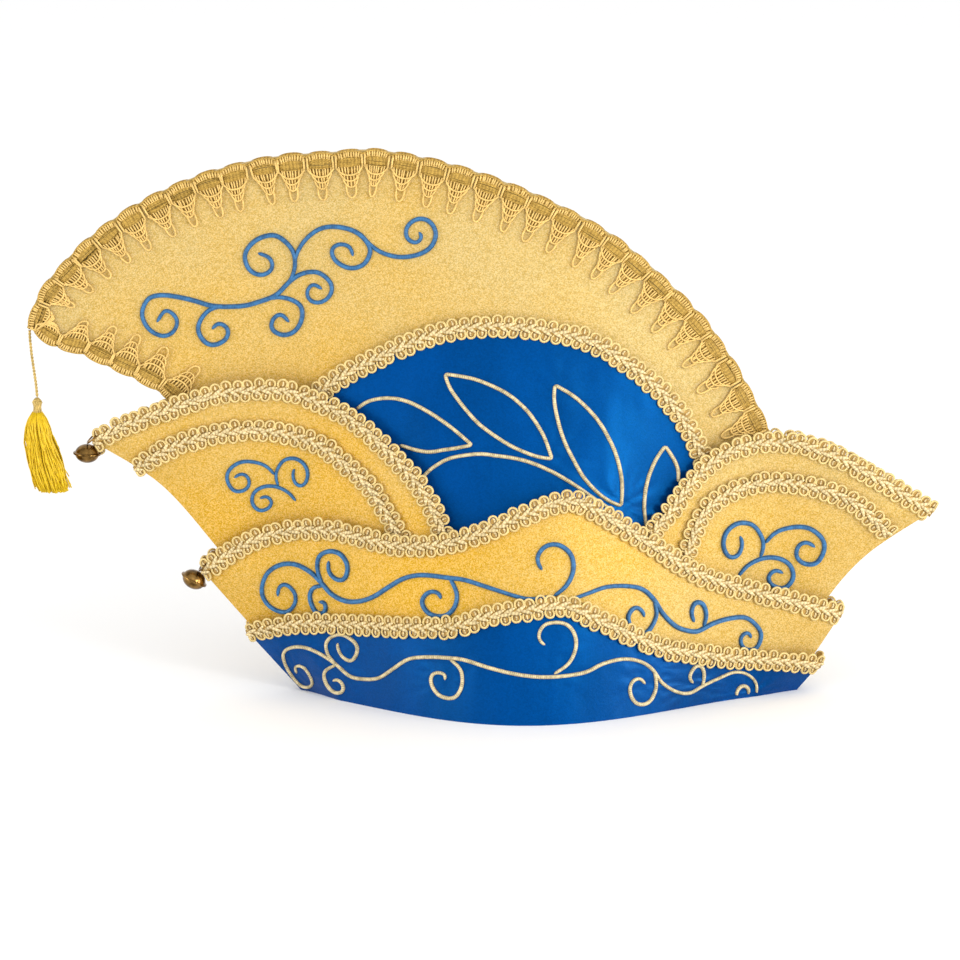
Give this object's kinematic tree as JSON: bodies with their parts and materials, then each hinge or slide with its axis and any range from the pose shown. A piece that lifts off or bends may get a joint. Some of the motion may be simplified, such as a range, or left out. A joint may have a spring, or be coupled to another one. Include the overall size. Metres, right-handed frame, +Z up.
{
  "type": "embroidered carnival cap",
  "caption": "Tall boat-shaped cloth cap with a high crest, stepped gold and blue layers edged in braid, lace along the crest, bells at the front points and a tassel; worn on the head.",
  "frame": {"origin": "middle of the cap's length and width, on the floor under the rim", "axes": "+X to the back of the cap, +Z up, -Y to the wearer's left"},
  "size_m": [0.4523, 0.1402, 0.2736],
  "materials": {
    "gold_cloth": "fine glitter",
    "blue_satin": "satin",
    "gold_braid": "metallic thread",
    "gold_lace": "metallic thread",
    "bell_brass": "antiqued",
    "gold_cord": "twisted thread",
    "yellow_rayon": "glossy thread"
  },
  "bodies": {
    "root": {"crown_left": "gold_cloth", "crown_right": "gold_cloth", "front_flap_left": "gold_cloth", "front_flap_right": "gold_cloth", "rear_flap_left": "gold_cloth", "rear_flap_right": "gold_cloth", "brim_left": "gold_cloth", "brim_right": "gold_cloth", "side_panel_left": "blue_satin", "side_panel_right": "blue_satin", "band_left": "blue_satin", "band_right": "blue_satin", "side_braid_left": "gold_braid", "side_braid_right": "gold_braid", "front_edge_braid_left": "gold_braid", "front_edge_braid_right": "gold_braid", "front_inner_braid_left": "gold_braid", "front_inner_braid_right": "gold_braid", "rear_edge_braid_left": "gold_braid", "rear_edge_braid_right": "gold_braid", "rear_inner_braid_left": "gold_braid", "rear_inner_braid_right": "gold_braid", "brim_braid_left": "gold_braid", "brim_braid_right": "gold_braid", "band_braid_left": "gold_braid", "band_braid_right": "gold_braid", "crest_lace_left": "gold_lace", "crest_lace_right": "gold_lace", "tip_lace_left": "gold_lace", "tip_lace_right": "gold_lace", "upper_ring": "bell_brass", "upper_bell": "bell_brass", "lower_ring": "bell_brass", "lower_bell": "bell_brass", "tassel_cord": "gold_cord", "tassel": "yellow_rayon"}
  },
  "joints": []
}
